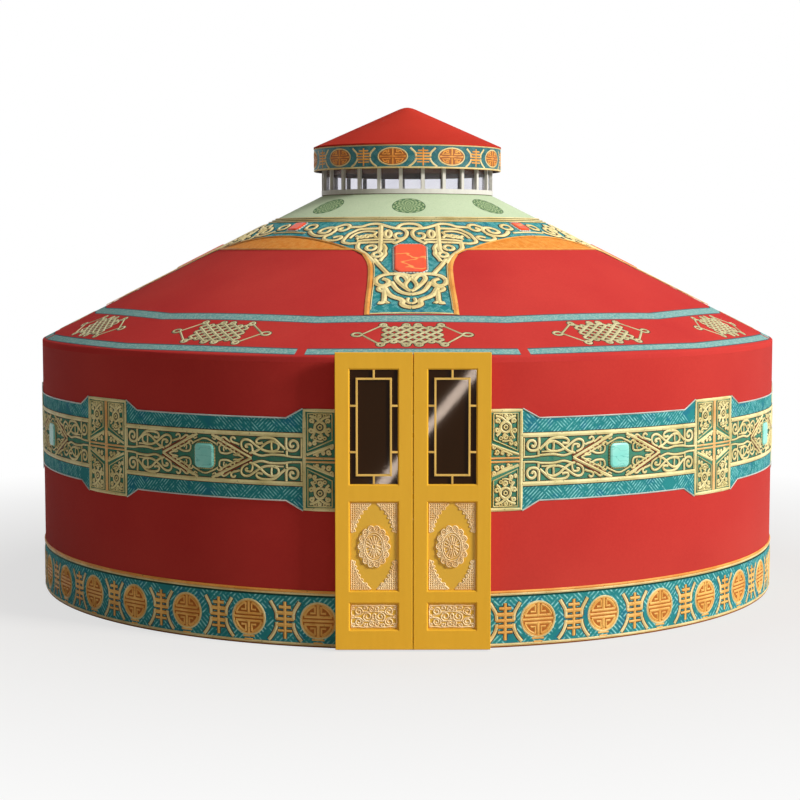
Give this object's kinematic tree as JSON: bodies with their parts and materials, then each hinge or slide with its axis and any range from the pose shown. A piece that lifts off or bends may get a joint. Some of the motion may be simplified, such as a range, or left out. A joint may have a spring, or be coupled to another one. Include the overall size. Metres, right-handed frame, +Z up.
{
  "type": "yurt",
  "caption": "Round felt yurt with a conical roof, a glazed lantern on the crown, banded walls and a two-leaf door with barred windows.",
  "frame": {"origin": "on the ground under the tip of the lantern, at the centre of the round plan", "axes": "+Z up; the door faces -Y; +X to the right of someone facing the door"},
  "size_m": [6.0106, 6.0553, 3.89],
  "materials": {
    "wall_felt": "matte canvas over felt",
    "roof_felt": "matte canvas over felt",
    "cap_fabric": "matte coated canvas",
    "band_fabric": "woven band with gold ornament",
    "lattice_wood": "oiled",
    "pole_wood": "oiled",
    "crown_wood": "oiled",
    "frame_wood": "satin paint",
    "door_wood": "satin gold paint",
    "door_carving": "satin paint, carved",
    "carved_wood": "satin paint, carved",
    "white_paint": "satin",
    "hinge_steel": "satin",
    "clear_glass": "clear",
    "dark_glass": "tinted"
  },
  "bodies": {
    "yurt": {"wall_cover_front_right": "wall_felt", "wall_cover_back_right": "wall_felt", "wall_cover_back_left": "wall_felt", "wall_cover_front_left": "wall_felt", "lattice_front_right": "lattice_wood", "lattice_back_right": "lattice_wood", "lattice_back_left": "lattice_wood", "lattice_front_left": "lattice_wood", "roof_cover_1": "roof_felt", "roof_cover_2": "roof_felt", "roof_cover_3": "roof_felt", "roof_cover_4": "roof_felt", "roof_cover_5": "roof_felt", "roof_cover_6": "roof_felt", "roof_poles_left": "pole_wood", "roof_poles_right": "pole_wood", "crown_ring": "crown_wood", "crown_cross": "crown_wood", "lantern_base_ring": "white_paint", "lantern_posts": "white_paint", "lantern_glazing": "clear_glass", "lantern_top_ring": "crown_wood", "lantern_fascia": "carved_wood", "lantern_cap": "cap_fabric", "hem_band": "band_fabric", "belt_band": "band_fabric", "roof_collar": "band_fabric", "door_jamb_left": "frame_wood", "door_jamb_right": "frame_wood", "door_head": "frame_wood", "door_sill": "frame_wood", "left_jamb_hinges": "hinge_steel", "right_jamb_hinges": "hinge_steel"},
    "left_leaf": {"left_leaf_frame": "door_wood", "left_leaf_panels": "door_carving", "left_leaf_glass": "dark_glass", "left_leaf_lattice": "door_wood", "left_leaf_hinges": "hinge_steel"},
    "right_leaf": {"right_leaf_frame": "door_wood", "right_leaf_panels": "door_carving", "right_leaf_glass": "dark_glass", "right_leaf_lattice": "door_wood", "right_leaf_hinges": "hinge_steel"}
  },
  "joints": [
    {"name": "left_leaf_hinge", "type": "hinge", "parent": "yurt", "child": "left_leaf", "pos_m": [-0.521, -3.003, 1.01], "axis": [0, 0, -1], "range_deg": [0, 110]},
    {"name": "right_leaf_hinge", "type": "hinge", "parent": "yurt", "child": "right_leaf", "pos_m": [0.521, -3.003, 1.01], "axis": [0, 0, 1], "range_deg": [0, 110]}
  ]
}
